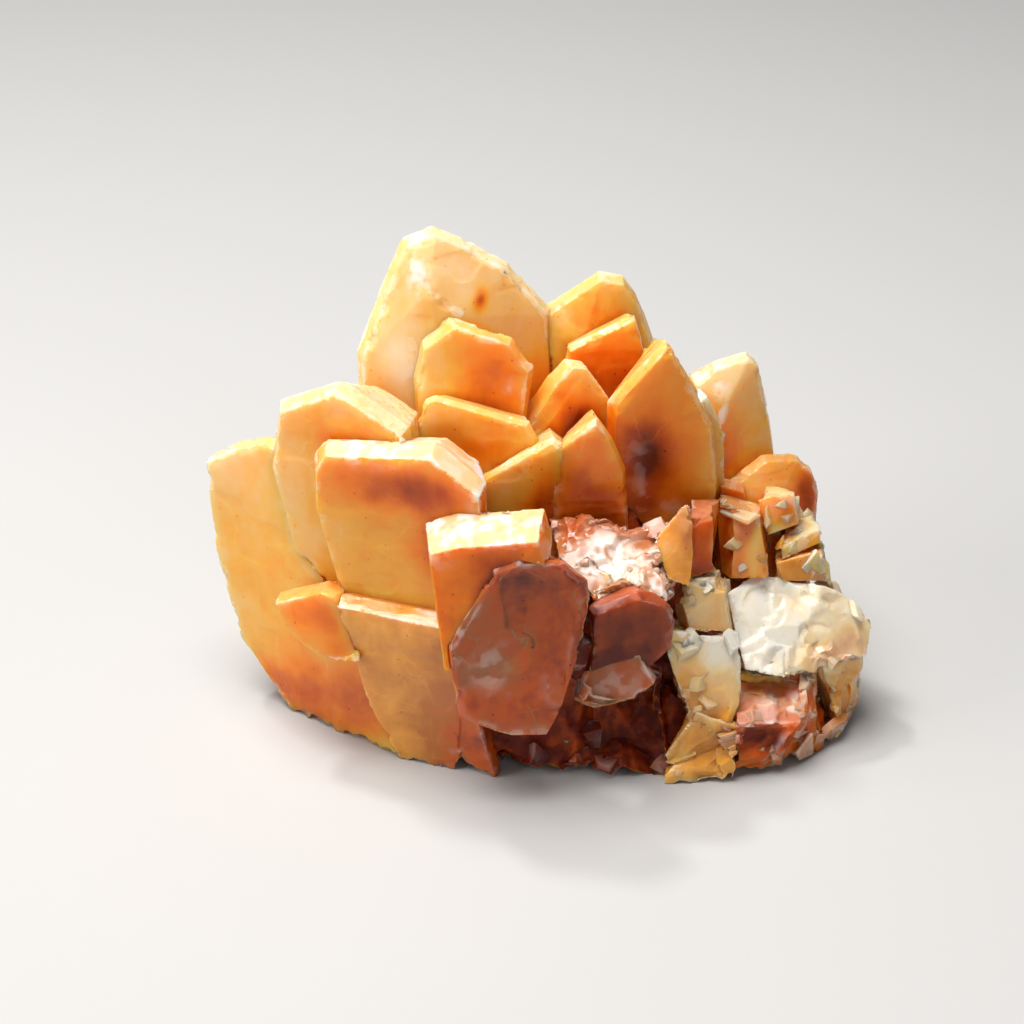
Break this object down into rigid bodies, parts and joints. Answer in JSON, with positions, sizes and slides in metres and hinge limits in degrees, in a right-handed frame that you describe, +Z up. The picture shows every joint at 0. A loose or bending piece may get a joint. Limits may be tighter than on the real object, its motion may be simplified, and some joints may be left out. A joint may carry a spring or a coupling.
{
  "type": "quartz crystal cluster",
  "caption": "Flower-shaped cluster of translucent cream, honey and amber quartz blades on a broken, iron-stained root, cut flat below so that it stands.",
  "frame": {"origin": "middle of the flat base, below the middle of the cluster's box", "axes": "+X along the long side, -Y towards the broken front, +Z up"},
  "size_m": [0.045, 0.0316, 0.0336],
  "materials": {
    "cream_quartz": "translucent cream quartz with glassy faces, pale rims and faint orange cores",
    "honey_quartz": "translucent honey-orange quartz, paler at its rims",
    "amber_quartz": "translucent deep orange quartz with red-orange clouds in it",
    "smoky_brown_quartz": "translucent red-brown quartz with dark inclusions",
    "frosted_quartz": "milky white to beige quartz, broken and sugary",
    "golden_quartz": "translucent ochre quartz with specks and chipped faces",
    "rusty_matrix": "rough iron-stained quartz, dark maroon to rust"
  },
  "bodies": {
    "root": {"root_matrix": "rusty_matrix", "front_lens": "smoky_brown_quartz", "front_block": "smoky_brown_quartz", "dark_lens": "smoky_brown_quartz", "glassy_shard": "smoky_brown_quartz", "front_left_petal": "amber_quartz", "front_left_root_petal": "golden_quartz", "left_bud": "amber_quartz", "left_petal": "honey_quartz", "left_outer_petal": "cream_quartz", "tall_petal": "cream_quartz", "centre_left_block": "amber_quartz", "centre_left_step": "honey_quartz", "front_peak_right": "amber_quartz", "front_peak_left": "amber_quartz", "centre_petal": "amber_quartz", "back_petal_step": "amber_quartz", "back_petal": "honey_quartz", "right_petal": "smoky_brown_quartz", "right_spine": "honey_quartz", "right_back_petal": "honey_quartz", "right_wedge": "amber_quartz", "right_low_petal": "honey_quartz", "rear_left_petal": "cream_quartz", "rear_petal_1": "honey_quartz", "rear_petal_2": "cream_quartz", "rear_petal_3": "amber_quartz", "rear_right_petal": "honey_quartz", "rear_low_left": "amber_quartz", "rear_low_middle": "golden_quartz", "rear_low_right": "honey_quartz", "beige_shard": "golden_quartz", "frosty_saddle": "frosted_quartz", "amber_column": "amber_quartz", "milky_slab": "frosted_quartz", "brown_root_block": "honey_quartz", "right_cube_upper": "amber_quartz", "right_cube_ledge": "amber_quartz", "right_cube_lower": "golden_quartz", "yellow_shard": "golden_quartz", "beige_splinter": "frosted_quartz", "golden_shard": "golden_quartz", "rusty_lump": "rusty_matrix", "end_block": "golden_quartz"}
  },
  "joints": []
}
